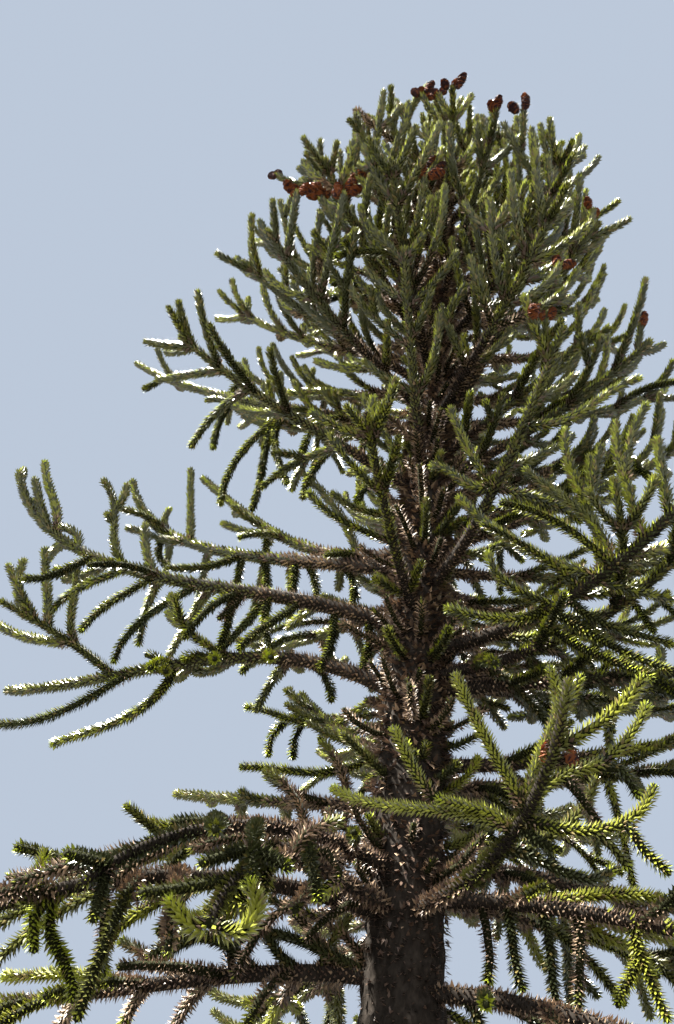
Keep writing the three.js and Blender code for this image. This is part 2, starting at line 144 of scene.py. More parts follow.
# shoots that stand out: bough (or "+", the shoot before), place along it, kind, azimuth, length, pitch at
# foot, middle and tip, azimuth drift. Kinds: L light yellow-green as if sunlit (painted light), F brightest fresh green
# as if sunlit (painted light), B clad in brown, D dead, K one that others grow from or that ends in a hook, b behind
# the bough
DRAWN = [
    ("fourth_left", 0.82, "", 196, 0.40, 59, 63, 66, 0),
    ("fourth_left", 0.79, "", 161, 0.72, 85, 59, 74, 0),
    ("fourth_left", 0.60, "", 206, 0.66, 34, 79, 33, 1),
    ("+", 0.63, "", 356, 0.23, 66, 82, 97, 0),
    ("+", 0.47, "", 206, 0.09, 36, 41, 47, 0),
    ("fourth_left", 0.54, "", 156, 0.48, 54, 67, 80, 0),
    ("fourth_left", 0.68, "", 211, 0.48, -43, -45, -13, 0),
    ("fourth_left", 0.61, "", 166, 0.54, -24, -25, -67, 0),
    ("fourth_left", 0.54, "", 186, 0.56, -45, -46, -73, 0),
    ("fourth_left", 0.45, "", 171, 0.70, -36, -44, -91, 0),
    ("fourth_left", 0.36, "", 201, 0.50, -27, -56, -69, 0),
    ("fourth_left", 0.36, "D", 186, 0.24, -80, -60, -41, 0),
    ("fourth_left", 0.38, "", 31, 0.41, -77, -91, -105, 0),
    ("fourth_left", 0.30, "", 161, 0.43, -58, -51, -51, 0),
    ("fourth_left", 0.24, "", 196, 0.51, -57, -45, -68, 0),
    ("fourth_left", 0.30, "b", 216, 0.40, -78, -102, -127, 0),
    ("fourth_left", 0.72, "", 356, 0.28, 90, 137, 197, 0),
    ("fourth_left", 0.17, "", 26, 0.42, -81, -97, -113, 0),
    ("fourth_left", 0.11, "", 346, 0.41, -70, -95, -122, 0),
    ("fifth_left", 0.71, "", 201, 0.43, -13, 45, 48, 0),
    ("fifth_left", 0.64, "", 166, 0.70, 78, 79, 79, 0),
    ("fifth_left", 0.74, "", 211, 0.21, 57, 88, 118, 0),
    ("fifth_left", 0.65, "", 176, 0.50, -10, 20, 8, 0),
    ("fifth_left", 0.47, "", 206, 0.55, -47, -29, -11, 0),
    ("fifth_left", 0.47, "", 341, 0.28, -83, -90, -98, 0),
    ("fifth_left", 0.40, "", 16, 0.32, -65, -80, -94, 0),
    ("fifth_left", 0.31, "b", 351, 0.34, -86, -90, -95, 0),
    ("fifth_left", 0.28, "b", 26, 0.36, -44, -74, -102, 0),
    ("fifth_left", 0.20, "b", 356, 0.41, -39, -79, -117, 0),
    ("fifth_left", 0.71, "", 196, 0.33, -38, -92, -167, 0),
    ("fifth_left_upper", 0.55, "", 166, 0.47, 4, 19, 33, 0),
    ("fifth_left_upper", 0.61, "", 201, 0.27, 11, 22, 32, 0),
    ("fifth_left_upper", 0.21, "", 176, 0.94, 75, 54, 40, 0),
    ("fifth_left_upper", 0.60, "b", 16, 0.26, -86, -86, -86, 0),
    ("sixth_left", 0.86, "", 206, 0.23, -63, -55, -47, 0),
    ("sixth_left", 0.39, "", 176, 0.99, -39, -64, -96, 0),
    ("sixth_left", 0.42, "", 211, 0.98, -71, -90, -80, 0),
    ("sixth_left", 0.38, "", 191, 0.73, -40, -101, -112, 0),
    ("sixth_left", 0.39, "", 165, 0.88, -74, 43, -11, 2),
    ("sixth_left", 0.57, "", 201, 0.55, -51, -82, -90, 0),
    ("sixth_left", 0.21, "", 196, 0.71, 12, -66, -94, 0),
    ("sixth_left", 0.14, "", 167, 0.80, -13, -51, -89, 0),
    ("sixth_left", 0.51, "", 26, 0.33, 67, 167, 280, 0),
    ("sixth_left", 0.16, "", 171, 0.30, -76, -76, -76, 0),
    ("sixth_left", 0.07, "", 22, 0.82, -57, -130, -96, 0),
    ("sixth_left", 0.11, "L", 171, 0.91, 85, 20, 1, 0),
    ("sixth_left", 0.49, "", 156, 0.59, 62, 66, 71, 0),
    ("sixth_left_near", 0.11, "L", 6, 0.76, 78, 124, 93, 0),
    ("sixth_left_near", 0.04, "", 197, 0.67, -83, -14, 39, 0),
    ("fourth_left_low", 0.70, "K", 201, 0.82, 32, 21, 18, 0),
    ("+", 0.35, "", 206, 0.54, 48, 84, 71, 0),
    ("+", 0.60, "", 171, 0.61, 78, 70, 75, 0),
    ("+", 0.68, "", 196, 0.43, 49, 53, 55, 0),
    ("+", 0.77, "", 166, 0.49, 41, 67, 100, 0),
    ("+", 0.38, "", 161, 0.65, 8, 17, 33, 0),
    ("fourth_left_low", 0.65, "", 186, 0.81, -41, -36, -2, 0),
    ("fourth_left_low", 0.55, "L", 164, 0.90, -88, -25, -20, 2),
    ("fourth_left_low", 0.61, "", 17, 0.20, -23, 120, 202, 0),
    ("fourth_left_low", 0.47, "", 186, 0.20, 34, -6, -48, 0),
    ("fourth_left_low", 0.26, "b", 21, 0.29, -10, -52, -90, 0),
    ("third_back_left", 0.71, "", 186, 0.52, -31, 14, -7, 0),
    ("third_back_left", 0.85, "", 196, 0.48, -33, -52, -107, 0),
    ("third_back_left", 0.76, "", 167, 0.37, 7, -69, -97, 0),
    ("third_back_left", 0.28, "", 187, 0.78, -60, -4, -11, 0),
    ("third_left", 0.56, "", 176, 0.17, -2, 19, 40, 0),
    ("third_left", 0.29, "B", 196, 0.39, 6, 12, 44, 0),
    ("third_left", 0.17, "B", 156, 0.49, -18, -27, -16, 0),
    ("third_left", 0.22, "B", 166, 0.42, 83, 63, 40, 0),
    ("second_left", 0.38, "L", 176, 0.85, 14, 6, -15, 0),
    ("second_left", 0.50, "", 206, 0.57, 26, -2, -23, 0),
    ("second_left", 0.64, "L", 161, 0.39, 23, -5, -41, 0),
    ("second_left", 0.80, "", 186, 0.57, -15, -26, -38, 0),
    ("second_left", 0.85, "L", 171, 0.60, -32, -24, -36, 0),
    ("second_left_near", 0.78, "F", 356, 0.26, 25, 62, 101, 0),
    ("second_left_near", 0.69, "F", 196, 0.25, -44, -88, -122, 0),
    ("second_left_near", 0.66, "F", 169, 0.52, -3, -129, -93, 1),
    ("second_left_near", 0.61, "B", 21, 0.36, -62, -80, -80, 0),
    ("second_left_near", 0.46, "", 171, 0.46, -76, -31, -98, 0),
    ("second_left_near", 0.44, "B", 206, 0.29, -56, -63, -70, 0),
    ("second_near_left", 0.99, "LK", 186, 0.21, -82, 39, 17, 0),
    ("second_near_left", 0.99, "LK", 16, 0.33, -52, 58, 150, 0),
    ("second_near_left", 0.54, "B", 347, 0.37, 53, -52, -185, 1),
    ("second_near_left", 0.59, "B", 26, 0.31, 84, 41, 13, 0),
    ("second_near_left", 0.75, "LK", 186, 0.38, -41, -61, 47, 0),
    ("second_near_left", 0.79, "LK", 181, 0.32, -63, -122, -352, -5),
    ("second_near_left", 0.69, "BK", 201, 0.30, -63, -58, -49, 0),
    ("second_near_left", 0.68, "", 201, 0.24, -82, -79, -46, 0),
    ("low_left", 0.06, "", 186, 1.04, 25, 3, -47, 0),
    ("low_left", 0.11, "B", 186, 0.50, 34, 46, 6, 0),
    ("low_left", 0.16, "", 6, 0.30, 77, 65, 53, 0),
    ("low_left", 0.19, "", 196, 0.42, 15, 46, 28, 0),
    ("low_left", 0.06, "B", 176, 0.53, 74, 30, 19, 0),
    ("low_left", 0.26, "", 196, 0.60, 41, 3, -64, 0),
    ("low_left", 0.35, "B", 171, 0.55, -15, 22, 14, 0),
    ("low_left", 0.31, "B", 201, 0.25, 42, 105, 173, 0),
    ("low_left", 0.50, "", 176, 0.64, 21, -4, -3, 0),
    ("second_near_right", 0.69, "L", 186, 0.63, 59, 61, 68, 0),
    ("second_near_right", 0.64, "LK", 171, 0.35, 58, 14, 21, 0),
    ("+", 0.97, "L", 186, 0.35, 36, 60, 57, 0),
    ("second_near_right", 0.70, "L", 197, 0.68, 87, 113, 57, 1),
    ("+", 0.60, "L", 346, 0.26, 54, 61, 68, 0),
    ("second_near_right", 0.70, "LK", 16, 0.43, 71, 33, 25, 0),
    ("+", 0.97, "L", 356, 0.34, 37, 54, 68, 0),
    ("+", 0.57, "D", 16, 0.23, -14, -63, -25, 0),
    ("+", 0.95, "", 21, 0.26, 43, -30, -75, 0),
    ("second_near_right", 0.68, "L", 357, 0.60, -19, 13, 75, 0),
    ("+", 0.48, "", 21, 0.18, -30, -43, -57, 0),
    ("+", 0.68, "", 351, 0.24, -69, -53, -38, 0),
    ("second_near_right", 0.64, "L", 156, 0.88, 33, 8, 34, 0),
    ("second_near_right", 0.65, "", 346, 0.19, -54, -33, -12, 0),
    ("second_near_right", 0.57, "", 6, 0.48, 8, -21, 54, 0),
    ("second_right_near", 0.26, "", 356, 0.65, 12, 8, -18, 0),
    ("second_right", 0.30, "", 7, 0.39, 51, -7, 80, 1),
    ("second_right", 0.28, "B", 16, 0.15, -33, -61, -89, 0),
    ("second_right", 0.24, "B", -4, 0.15, -69, -93, -118, 0),
    ("second_right", 0.39, "B", 6, 0.46, 4, -33, -20, 0),
    ("second_right_near", 0.46, "L", 6, 0.39, -43, -117, -107, 0),
    ("second_right_near", 0.47, "L", -4, 0.41, -85, -71, -70, 0),
    ("second_right_near", 0.36, "B", 6, 0.45, -73, -97, -84, 0),
    ("second_right_near", 0.28, "", 16, 0.43, -64, -87, -73, 0),
    ("second_right_near", 0.21, "", -4, 0.38, -73, -84, -65, 0),
    ("second_right_near", 0.16, "B", 6, 0.36, -76, -82, -102, 0),
    ("second_right_near", 0.33, "L", 21, 0.42, -12, -20, 8, 0),
    ("low_right_near", 0.15, "", -9, 0.15, -34, -57, -79, 0),
    ("low_right_near", 0.30, "", 16, 0.37, -16, -3, -32, 0),
    ("fourth_near_right", 0.51, "L", 17, 0.93, 73, 110, 80, 1),
    ("+", 0.50, "", 166, 0.26, 69, 73, 78, 0),
    ("+", 0.45, "", 31, 0.38, 82, 84, 86, 0),
    ("+", 0.42, "", 356, 0.44, 79, 78, 77, 0),
    ("fourth_near_right", 0.62, "L", 176, 0.76, 79, 82, 95, 0),
    ("+", 0.45, "", 351, 0.54, 85, 74, 61, 0),
    ("fourth_near_right", 0.69, "", 201, 0.49, 88, 89, 90, 0),
    ("fourth_near_right", 0.50, "L", 166, 0.93, 20, 39, 57, 0),
    ("fourth_near_right", 0.46, "L", 196, 0.59, 47, 25, 20, 0),
    ("fourth_near_right", 0.55, "L", 206, 0.67, 38, 14, -15, 0),
    ("fourth_near_right", 0.55, "", 346, 0.80, 88, 129, 128, 0),
    ("fourth_near_right", 0.38, "L", 176, 0.54, -42, 4, 15, 0),
    ("fourth_near_right", 0.39, "", 186, 0.47, 11, 34, 91, 0),
    ("fourth_near_right", 0.38, "L", 346, 0.68, -37, -37, -20, 0),
    ("fourth_near_right", 0.42, "", 356, 0.57, -61, -21, -20, 0),
    ("fourth_near_right", 0.35, "L", 336, 0.70, -72, -34, -38, 0),
    ("fourth_near_right", 0.49, "", 16, 0.44, -3, -2, -1, 0),
    ("fourth_near_right", 0.55, "", 26, 0.41, 26, 24, 22, 0),
    ("fourth_near_right", 0.62, "", 346, 0.19, 64, 34, 4, 0),
    ("fifth_near_right", 0.46, "L", 166, 0.46, -43, 45, 3, 0),
    ("fifth_near_right", 0.44, "L", 201, 0.58, 48, 62, 71, 0),
    ("fifth_near_right", 0.66, "L", 357, 0.78, -19, 42, 18, 0),
    ("fifth_near_right", 0.44, "L", 16, 0.54, 5, -7, -42, 0),
    ("fourth_left_low", 0.46, "L", 284, 0.26, -12, -28, -30, 0),
    ("fourth_left_low", 0.34, "L", 286, 0.24, -14, -28, -30, 0),
    ("fourth_left_low", 0.56, "L", 262, 0.30, -6, -34, -40, 0),
    ("fourth_left_low", 0.60, "L", 300, 0.28, -10, -30, -30, 0),
    ("second_left", 0.61, "", 187, 0.52, 53, -8, 17, 0),
    ("second_left", 0.61, "B", 196, 0.48, -50, 6, -21, 0),
    ("second_left", 0.42, "L", 176, 0.43, 72, -5, 19, 0),
    ("second_left", 0.47, "L", 21, 0.33, 23, 34, 59, 0),
    ("second_left", 0.35, "B", 6, 0.34, 18, -83, -181, 0),
    ("second_left", 0.40, "B", 6, 0.49, 83, 123, 167, 0),
    ("second_left_near", 0.56, "L", 186, 0.19, 18, -42, -93, 0),
    ("second_left_near", 0.47, "B", 197, 0.28, -33, -36, 37, 0),
]
HELD = {row[0] for row in DRAWN if row[0] != "+"}
# upper whorls: foot height, boughs, first azimuth, length, pitches, reach of the side shoots
WHORLS = [
    (5.98, 5, 230, 1.90, 20, 22, 40, 0.50),
    (6.25, 6, 196, 1.87, 22, 26, 42, 0.50),
    (6.55, 5, 242, 1.80, 22, 26, 46, 0.48),
    (6.85, 6, 188, 1.72, 24, 28, 48, 0.46),
    (7.12, 6, 221, 1.58, 26, 30, 50, 0.44),
    (7.4, 6, 190, 1.44, 28, 32, 52, 0.42),
    (7.66, 6, 217, 1.28, 30, 34, 56, 0.38),
    (7.92, 6, 186, 1.12, 32, 38, 60, 0.34),
    (8.18, 5, 226, 0.96, 34, 42, 64, 0.30),
    (8.42, 5, 195, 0.78, 38, 48, 68, 0.26),
    (8.64, 5, 233, 0.58, 44, 54, 72, 0.20),
    (8.84, 4, 205, 0.40, 52, 64, 80, 0.0),
]
STEP = 0.04
rng = np.random.default_rng(20260731)


def unit(v):
    return v / np.maximum(1e-9, np.linalg.norm(v, axis=-1, keepdims=True))


def arc_path(start, az, length, p0, p1, p2, drift):
    n = max(6, int(round(length / STEP)))
    t = (np.arange(n) + 0.5) / n
    p = np.radians(p0 * (1 - t) * (1 - 2 * t) + 4 * p1 * t * (1 - t) + p2 * t * (2 * t - 1))
    a = np.radians(az + drift * t)
    d = np.stack([np.cos(p) * np.cos(a), np.cos(p) * np.sin(a), np.sin(p)], 1)
    return np.vstack([start, start + np.cumsum(d, 0) * (length / n)])


def bough_path(z0, az, length, p0, p1, p2, drift):
    return arc_path(trunk_centre(z0), az, length, p0, p1, p2, drift)


def tangents(pts):
    t = np.gradient(pts, axis=0)
    return unit(t)


def grow(start, direction, length, lift0, lift1, wander):
    """A shoot that bends down (lift < 0) or up (lift > 0) by lift0 at its foot and lift1 at its tip, per metre."""
    n = max(3, int(round(length / STEP)))
    step = length / n
    pts = [np.array(start, float)]
    d = unit(np.array(direction, float))
    side = rng.normal(0, wander, 3)
    for i in range(n):
        t = (i + 0.5) / n
        lift = lift0 * (1 - t) + lift1 * t
        z = np.array([0, 0, 1.0])
        turn = (z - d * d[2]) * lift * step + side * step
        d = unit(d + turn)
        pts.append(pts[-1] + d * step)
    return np.array(pts)


box_low, box_high = np.array(cad_box[0], float), np.array(cad_box[1], float)
SPREAD = 0.03 * (box_high - box_low) + 0.01 - 0.065
ROOM_LOW, ROOM_HIGH = box_low - SPREAD, box_high + SPREAD
ROOM_HIGH[2] = 9.26
upper_crown = False
shoots = []  # dict: pts, r0, r1, tone, dead (share of the length from its foot), first (metres without leaves), size, whole


def add_shoot(pts, r0, r1, tone, dead, first=0.0, size=1.0, kind="side"):
    # towards -Y the crown stays under a slope
    x, y, z = pts.T
    roof = 9.9 + 0.25 * rng.random() - 1.68 * np.maximum(0, -y)
    if upper_crown:
        roof = roof + np.maximum(0, y) - np.interp(np.abs(x), [0, 0.5, 0.9, 1.2, 1.5, 1.8, 2.2], [0, 0.1, 0.6, 1.0, 1.75, 2.7, 4.4])
    high = z > roof
    if high.any():
        k = int(np.argmax(high))
        if k < 4:
            return
        pts = pts[:k]
    out = np.nonzero(((pts < ROOM_LOW) | (pts > ROOM_HIGH)).any(1) & (pts[:, 2] > 1.0))[0]
    if len(out):
        if out[0] < 4:
            return
        pts = pts[: out[0]]
    shoots.append(dict(pts=pts, r0=r0, r1=r1, tone=tone, dead=dead, first=first, size=size, kind=kind))


def reach_profile(t):
    """How long the side shoots are along a bough, as a share of their longest."""
    return np.interp(t, [0, 0.2, 0.45, 0.7, 0.9, 1.0], [0.35, 0.6, 1.0, 0.92, 0.62, 0.45])


def dress(pts, length, reach, hang, upturn, dead, upper, spacing=0.30, start=0.2, size=1.0, held=False):
    """Side shoots in loose pairs along a bough, and the bough's own leafy length. On a bough whose drawn
    shoots show (held), the free ones grow on its far side and are fewer and shorter."""
    T = tangents(pts)
    n = len(pts) - 1
    r_foot = 0.042 * (0.35 + 0.65 * length / 2.4)
    tone = rng.integers(0, 4)
    root = float(trunk_radius(pts[0][2]))
    add_shoot(pts, r_foot, 0.018, tone, 0.25 + dead * 0.5, first=root * 0.9, size=1.04 * size, kind="bough")
    s = max(start * length, root + 0.12)
    while s < length - 0.06:
        t = s / length
        i = min(n - 1, int(t * n))
        tan = T[i]
        a = unit(np.cross(tan, np.array([0, 0, 1.0])))
        b = np.cross(a, tan)
        for k in (-1, 1):
            away = k * a[1] > 0
            if rng.random() < (0.06 if not held else 0.35 if away else 0.8):
                continue
            base = pts[min(n - 1, i + int(rng.integers(0, 2)))]
            side = a * k
            ell = reach * reach_profile(t) * (0.72 + 0.56 * rng.random()) * 1.5
            if held:
                ell *= 0.75
            if ell < 0.1:
                continue
            beta = np.radians(rng.uniform(40, 66) - 12 * t)
            roll_up = rng.uniform(-0.3, 0.3) + 0.1 * upper
            d = tan * np.cos(beta) + (side * np.cos(roll_up) + b * np.sin(roll_up)) * np.sin(beta)
            hangs = rng.random() < hang * (1.2 - 1.0 * t * t)
            if hangs:
                l0, l1 = -rng.uniform(1.6, 3.2), -rng.uniform(0.6, 2.6)
                ell *= 1.1
            elif upper > 0.5:
                l0, l1 = rng.uniform(0.0, 1.8), rng.uniform(2.0, 6.0)
            else:
                l0 = rng.uniform(-1.3, 0.3)
                l1 = upturn * rng.uniform(1.2, 4.6)
            q = grow(base, d, ell, l0, l1, 0.35)
            old = max(0.0, (0.55 - t)) * dead * 1.6 + (0.25 if rng.random() < dead * 0.35 else 0.0)
            if rng.random() < (0.5 if dead > 0.8 else dead * 0.10):
                old = 1.0
            tn = tone if rng.random() < 0.6 else rng.integers(0, 4)
            # in the upper crown about a third of the shoots take the light green, for the sunlight falling on it:
            # painted light
            if upper_crown and rng.random() < 0.35:
                tn = 0
            add_shoot(q, 0.022 + 0.004 * ell, 0.017, tn, min(1.0, old), first=0.01, size=size * rng.uniform(0.93, 1.05))
            if ell > 0.45 and rng.random() < 0.22:
                j = int(len(q) * rng.uniform(0.4, 0.7))
                tq = unit(q[j] - q[j - 1])
                aq = unit(np.cross(tq, np.array([0, 0, 1.0])))
                for kk in (-1, 1) if rng.random() < 0.35 else (rng.choice([-1, 1]),):
                    dq = tq * 0.7 + aq * kk * 0.7 + np.array([0, 0, 0.1])
                    m = grow(q[j], dq, ell * rng.uniform(0.3, 0.48), l0 * 0.5, l1, 0.2)
                    add_shoot(m, 0.021, 0.017, tn, 0.0, first=0.01, size=size)
        s += spacing * rng.uniform(0.75, 1.3)
    if held:
        return
    # the tip divides into a few fingers
    j = max(0, len(pts) - 4)
    tip, tan = pts[j], T[j]
    a = unit(np.cross(tan, np.array([0, 0, 1.0])))
    b = np.cross(a, tan)
    turn = rng.uniform(0, 2 * np.pi)
    for k in range(rng.integers(2, 4)):
        ang = turn + k * 2.3
        d = tan * 0.8 + (a * np.cos(ang) + b * np.sin(ang)) * 0.6
        l1 = 2.5 * upturn if hang < 0.8 else 0.2
        add_shoot(grow(tip, d, rng.uniform(0.2, 0.34) * (0.6 + reach), 0.3, l1, 0.2), 0.021, 0.017, tone, 0.0, size=size)


MAIN = {}
LOOSE = {"second_right_near", "second_right", "low_right_near", "sixth_left_near", "second_left_near", "low_left", "second_left"}
for number, row in enumerate(BOUGHS):
    rng = np.random.default_rng(1000 + number)
    name, z0, az, length, p0, p1, p2, drift, reach, hang, upturn, dead, more = row
    upper = np.clip((z0 - 5.0) / 1.0, 0, 1)
    pts = bough_path(z0, az, length, p0, p1, p2, drift)
    low_size = 1.03 if z0 < 3.3 else 1.0
    dress(pts, length, reach, hang, upturn, dead, upper, size=low_size, held=name in HELD and name not in LOOSE)
    MAIN[name] = pts
    for k in range(more if number % 3 else 0):
        lift = rng.uniform(0.1, 0.2) * rng.choice([-1, 1])
        turn = rng.uniform(9, 16) * rng.choice([-1, 1])
        extra = bough_path(z0 + lift, az + turn, length * rng.uniform(0.68, 0.82), p0 + 4, p1, p2, drift)
        dress(extra, length * 0.75, reach * 0.8, hang, upturn, dead, upper, size=low_size)

rng = np.random.default_rng(900)
parent = None
for name, t, kind, az, length, p0, p1, p2, drift in DRAWN:
    host = parent if name == "+" else MAIN[name]
    start = host[min(len(host) - 1, int(round(t * (len(host) - 1))))]
    pts = arc_path(start, az, length, p0, p1, p2, drift)
    if name != "+":
        parent, owner = pts, name
    near = 1.0 if start[2] > 3.6 else 0.88 if owner == "second_near_right" else 1.3 if "K" in kind else 1.1
    old = 1.0 if "D" in kind else 0.75 if "B" in kind else 0.12 * rng.random()
    # kinds L and F take the lighter greens so that they look sunlit: painted light
    tone = 0 if "L" in kind else 4 if "F" in kind else rng.integers(0, 4)
    add_shoot(pts, 0.023 + 0.004 * length, 0.017, tone, old, first=0.01, size=near * rng.uniform(0.96, 1.04), kind="drawn")

upper_crown = True
for level, (z0, count, az0, length, p0, p1, p2, reach) in enumerate(WHORLS):
    for k in range(count):
        rng = np.random.default_rng(5000 + 20 * level + k)
        az = az0 + 360 / count * k + rng.uniform(-9, 9)
        near = max(0.0, math.cos(math.radians(az - 268)))  # the side towards -Y is a little shorter
        right_side = max(0.0, math.cos(math.radians(az - 350)))
        ell = length * rng.uniform(0.92, 1.06) * (1 - 0.16 * near) * (1 - 0.07 * right_side)
        pts = bough_path(z0 + rng.uniform(-0.06, 0.06), az, ell, p0 + rng.uniform(-4, 4), p1, p2, 0)
        dress(pts, ell, reach * 0.86, 0.05, 1.0, 0.40, 1.0, spacing=0.27, start=0.28, size=1.0)
upper_crown = False
# short shoots straight from the trunk, many of them old and brown
for k in range(120):
    rng = np.random.default_rng(8000 + k)
    z0 = rng.uniform(2.9, 6.8)
    az = rng.uniform(170, 370) if k % 3 else rng.uniform(0, 360)
    pts = arc_path(trunk_centre(z0), az, float(trunk_radius(z0)) + rng.uniform(0.08, 0.32), rng.uniform(-10, 30), rng.uniform(0, 40), rng.uniform(20, 80), rng.uniform(-20, 20))
    add_shoot(pts, 0.020, 0.016, rng.integers(0, 4), 1.0 if rng.random() < 0.7 else 0.3, first=float(trunk_radius(z0)) * 0.9)
# the leader
lead = trunk_centre(np.linspace(8.6, 9.12, 14))
add_shoot(lead, 0.03, 0.01, 1, 0.0, first=0.02, kind="bough")
print("shoots", len(shoots), "metres", sum(np.linalg.norm(np.diff(s["pts"], axis=0), axis=1).sum() for s in shoots))

# ------------------------------------------------------------------ leaves
LEAF_PER_M = 507
LEAF_LEN = 0.0322
LEAF_WIDTH = 0.0168
FRESH, LIGHT, MID, DARK, OLIVE, BROWN, DEAD = range(7)
TONES = [LIGHT, MID, MID, DARK, FRESH]  # main colour of a shoot
SUNNY = np.array([-0.76, -0.20, 0.62])  # side of the upper shoots with lighter leaves: a cue of the photo's sun, dealt out as leaf colour


def frames_along(pts, s_at):
    seg = np.linalg.norm(np.diff(pts, axis=0), axis=1)
    s = np.concatenate([[0], np.cumsum(seg)])
    P = np.stack([np.interp(s_at, s, pts[:, i]) for i in range(3)], 1)
    T = tangents(pts)
    Tt = unit(np.stack([np.interp(s_at, s, T[:, i]) for i in range(3)], 1))
    ref = np.array([0.31, 0.17, 0.93]) if abs(T[0][2]) < 0.8 else np.array([0.9, 0.3, 0.1])
    A = unit(np.cross(Tt, ref))
    B = np.cross(Tt, A)
    return P, Tt, A, B, s[-1]


def leaves_of(sh, out_v, out_m):
    pts = sh["pts"]
    total = np.linalg.norm(np.diff(pts, axis=0), axis=1).sum()
    first = sh["first"]
    fine = sh["kind"] == "drawn"
    dens = LEAF_PER_M * (1.1 if fine else 1.0 if sh["kind"] == "bough" else 0.96)
    count = int((total - first) * dens)
    if count < 8:
        return
    s_at = first + (np.arange(count) + rng.random()) / count * (total - first)
    P, T, A, B, _ = frames_along(pts, s_at)
    u = s_at / total
    ang = np.arange(count) * 2.39996 + rng.random() * 6 + rng.normal(0, 0.06, count)
    R = A * np.cos(ang)[:, None] + B * np.sin(ang)[:, None]
    stem = sh["r0"] + (sh["r1"] - sh["r0"]) * u
    to_tip = total - s_at
    phase = rng.random() * 6
    season = 1 + 0.10 * np.sin(s_at / 0.26 * 2 * np.pi + phase)
    close = float(np.clip((pts[0][2] - 3.9) / 2.1, 0, 1))  # the upper shoots hold their leaves closer
    size = sh["size"] * season * rng.uniform(0.88, 1.1, count) * (1 + 0.12 * close)
    bud = np.clip(to_tip / 0.025, 0, 1)
    size = size * (0.5 + 0.5 * bud)
    dead_to = sh["dead"]
    is_dead = u + rng.normal(0, 0.05, count) < dead_to
    phi = np.radians(np.where(is_dead, rng.uniform(58, 84, count), rng.uniform(52, 64, count)))
    phi = (phi - np.where(is_dead, 0, np.radians(14) * close)) * (0.12 + 0.88 * np.sqrt(np.clip(to_tip / 0.03, 0, 1)))
    # leaves lift a little towards the light
    d = T * np.cos(phi)[:, None] + R * np.sin(phi)[:, None]
    d = unit(d + np.array([0, 0, 0.10]) + rng.normal(0, 0.035, (count, 3)))
    nrm = unit(T - d * (T * d).sum(1)[:, None])
    side = np.cross(d, nrm)
    twist = rng.normal(0, 0.26, (count, 1))
    nrm, side = nrm * np.cos(twist) + side * np.sin(twist), side * np.cos(twist) - nrm * np.sin(twist)
    ln = (LEAF_LEN * size)[:, None]
    w = (LEAF_WIDTH * (0.9 if fine else 1.0) * size * np.where(is_dead, 0.85, 1.0) * (0.62 + 0.38 * bud))[:, None]
    base = P + R * (stem * 0.8)[:, None]
    tip = base + d * ln + nrm * ln * (0.10 + 0.10 * close)
    mid = base + d * ln * 0.30
    left = mid - side * w * 0.5 + nrm * w * 0.30
    rightp = mid + side * w * 0.5 + nrm * w * 0.30
    V = np.stack([base, rightp, tip, left], 1)
    main = TONES[int(sh["tone"])]
    m = np.full(count, main)
    # on these shoots up to half the leaves take the dark green at random; on the side towards SUNNY most of them then
    # take the light or fresh green instead, so that side is lighter and the other side darker: painted light and
    # painted shade
    painted_light_share = np.clip((pts[0][2] - 3.2) / 1.1, 0, 1)
    m[rng.random(count) < 0.50 * painted_light_share] = DARK
    sunny = R @ SUNNY > 0.45
    m[sunny & (rng.random(count) < 0.75 * painted_light_share)] = LIGHT
    m[sunny & (rng.random(count) < 0.45 * painted_light_share)] = FRESH
    m[rng.random(count) < 0.10] = OLIVE
    low_down = np.clip((6.0 - pts[0][2]) / 2.5, 0, 1)
    m[to_tip < 0.02 + 0.02 * rng.random()] = FRESH if rng.random() < (0.9 if fine and main == LIGHT else 0.15 + 0.25 * low_down) else LIGHT
    if sh["kind"] == "side":
        low = u < 0.18
        m[low] = DARK if main != LIGHT else MID
        m[low & (rng.random(count) < 0.5)] = BROWN
    m[is_dead] = BROWN
    m[is_dead & (rng.random(count) < 0.5)] = DEAD
    out_v.append(V.reshape(-1, 3))
    out_m.append(m)


# ------------------------------------------------------------------ catkins
# about where they stand and how many stand together; each sits on the nearest outer part of a shoot
CATKINS = [
    (-0.19, -0.87, 8.42, 3),
    (-0.07, -0.85, 8.46, 3),
    (0.03, -0.98, 8.34, 3),
    (0.33, -1.16, 7.79, 2),
    (0.51, -1.21, 7.72, 3),
    (-0.92, -1.1, 6.92, 4),
    (-0.82, -0.81, 7.27, 3),
    (-0.62, -1.1, 6.92, 4),
    (-0.58, -0.79, 7.51, 3),
    (-0.12, -1.22, 6.95, 3),
    (-0.08, -0.63, 7.87, 3),
    (-1.3, -0.29, 8.24, 2),
    (0.97, -0.88, 7.09, 2),
    (0.75, -0.84, 6.6, 2),
    (0.53, -1.11, 5.8, 2),
    (0.67, -0.7, 6.27, 2),
    (1.28, -0.55, 6.4, 2),
    (0.51, -1.35, 3.13, 1),
    (0.83, 0.04, 3.73, 1),
]


